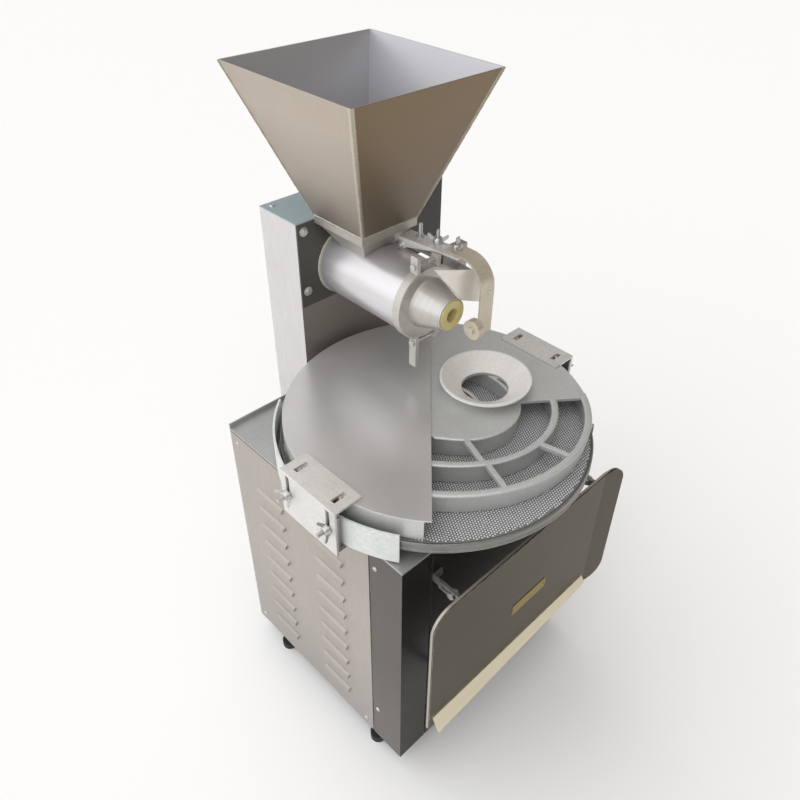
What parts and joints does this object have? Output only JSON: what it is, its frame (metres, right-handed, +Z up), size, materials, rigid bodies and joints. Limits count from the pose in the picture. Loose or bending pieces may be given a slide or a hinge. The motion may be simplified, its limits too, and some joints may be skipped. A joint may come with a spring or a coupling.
{
  "type": "dough divider rounder",
  "caption": "Bakery divider rounder: square hopper and screw barrel push dough past a swinging cutter onto a turning disc, where a spiral track rolls the pieces into balls.",
  "frame": {"origin": "floor level under the axis of the turning disc", "axes": "+X to the machine's right as its operator faces the front plate, +Y to the back, +Z up"},
  "size_m": [0.642, 0.675, 1.227],
  "materials": {
    "frame_tube": "satin",
    "painted_panel": "satin",
    "shaded_panel": "satin",
    "stainless_sheet": "brushed",
    "machined_steel": "turned",
    "fasteners": "bright",
    "cast_aluminium": "cast",
    "bars": "brushed",
    "drive_iron": "as cast",
    "motors": "satin",
    "black_rubber": "matt",
    "disc_mat": "studded",
    "funnel": "satin",
    "band": "satin",
    "nozzle_insert": "satin",
    "blade": "ground",
    "dark_plate": "satin",
    "black_plastic": "matt",
    "green_button": "gloss",
    "red_button": "gloss"
  },
  "bodies": {
    "machine_base": {"base_frame": "frame_tube", "top_plate": "stainless_sheet", "front_post_covers": "painted_panel", "front_panel": "shaded_panel", "left_panel": "painted_panel", "right_panel": "painted_panel", "back_panel": "painted_panel", "feet_pads": "black_rubber", "feet_studs": "fasteners", "cover_screws": "fasteners", "bearing_housing": "drive_iron", "motor_plate": "frame_tube", "disc_motor": "motors", "drive_belt": "black_rubber", "uprights": "stainless_sheet", "upright_studs": "fasteners", "side_band": "band", "column_shell": "painted_panel", "column_lid": "stainless_sheet", "mounting_plate": "dark_plate", "barrel": "machined_steel", "hopper_neck": "stainless_sheet", "hopper": "stainless_sheet", "screw_gearmotor": "motors", "nozzle": "machined_steel", "nozzle_insert": "nozzle_insert", "left_clamp": "cast_aluminium", "right_clamp": "cast_aluminium", "clamp_bolts": "fasteners", "cutter_block": "machined_steel", "cutter_arm": "machined_steel", "cutter_guard": "blade", "cutter_motor": "motors", "fixed_bars": "bars", "bar_bolts": "fasteners", "control_box": "dark_plate", "cable_gland": "black_plastic"},
    "disc": {"disc_plate": "cast_aluminium", "disc_mat": "disc_mat", "disc_spindle": "machined_steel", "disc_pulley": "drive_iron"},
    "motor_rotor": {"motor_pulley": "drive_iron"},
    "track": {"track_casting": "cast_aluminium", "half_cover": "stainless_sheet", "funnel": "funnel", "hold_brackets": "stainless_sheet"},
    "nut_left_front": {"wing_nut_left_front": "fasteners"},
    "nut_left_rear": {"wing_nut_left_rear": "fasteners"},
    "nut_right_front": {"wing_nut_right_front": "fasteners"},
    "nut_right_rear": {"wing_nut_right_rear": "fasteners"},
    "screw": {"auger_shaft": "machined_steel", "auger_flight": "machined_steel", "shaft_coupling": "drive_iron"},
    "cutter": {"cutter_shaft": "machined_steel", "cutter_blade": "blade"},
    "deflector": {"front_plate": "shaded_panel", "slide_bars": "bars"},
    "start_cap": {"start_button": "green_button"},
    "stop_cap": {"stop_button": "red_button"},
    "knob": {"speed_knob": "black_plastic"}
  },
  "joints": [
    {"name": "disc_spin", "type": "hinge", "parent": "machine_base", "child": "disc", "pos_m": [0, 0, 0.65], "axis": [0, 0, 1], "continuous": true},
    {"name": "motor_spin", "type": "hinge", "parent": "machine_base", "child": "motor_rotor", "pos_m": [0, 0.172, 0.485], "axis": [0, 0, 1], "continuous": true},
    {"name": "track_lift", "type": "slide", "parent": "machine_base", "child": "track", "axis": [0, 0, 1], "range_m": [0, 0.01]},
    {"name": "nut_left_front_turn", "type": "hinge", "parent": "machine_base", "child": "nut_left_front", "pos_m": [-0.3, -0.058, 0.658], "axis": [-1, 0, 0], "continuous": true},
    {"name": "nut_left_rear_turn", "type": "hinge", "parent": "machine_base", "child": "nut_left_rear", "pos_m": [-0.3, 0.042, 0.658], "axis": [-1, 0, 0], "continuous": true},
    {"name": "nut_right_front_turn", "type": "hinge", "parent": "machine_base", "child": "nut_right_front", "pos_m": [0.3, -0.058, 0.658], "axis": [1, 0, 0], "continuous": true},
    {"name": "nut_right_rear_turn", "type": "hinge", "parent": "machine_base", "child": "nut_right_rear", "pos_m": [0.3, 0.042, 0.658], "axis": [1, 0, 0], "continuous": true},
    {"name": "screw_spin", "type": "hinge", "parent": "machine_base", "child": "screw", "pos_m": [0.044, 0.2, 0.861], "axis": [0, 1, 0], "continuous": true},
    {"name": "cutter_swing", "type": "hinge", "parent": "machine_base", "child": "cutter", "pos_m": [0.122, 0.1, 0.9], "axis": [0, -1, 0], "range_deg": [0, 60]},
    {"name": "plate_slide", "type": "slide", "parent": "machine_base", "child": "deflector", "axis": [0, -1, 0], "range_m": [-0.005, 0.02]},
    {"name": "start_press", "type": "slide", "parent": "machine_base", "child": "start_cap", "axis": [-1, 0, 0], "range_m": [0, 0.004], "stiffness_N_per_m": 600},
    {"name": "stop_press", "type": "slide", "parent": "machine_base", "child": "stop_cap", "axis": [-1, 0, 0], "range_m": [0, 0.004], "stiffness_N_per_m": 600},
    {"name": "speed_turn", "type": "hinge", "parent": "machine_base", "child": "knob", "pos_m": [0.301, 0.342, 0.9248], "axis": [1, 0, 0], "range_deg": [0, 270]}
  ],
  "couplings": [
    {"joint": "motor_spin", "follows": "disc_spin", "ratio": 3.4}
  ]
}
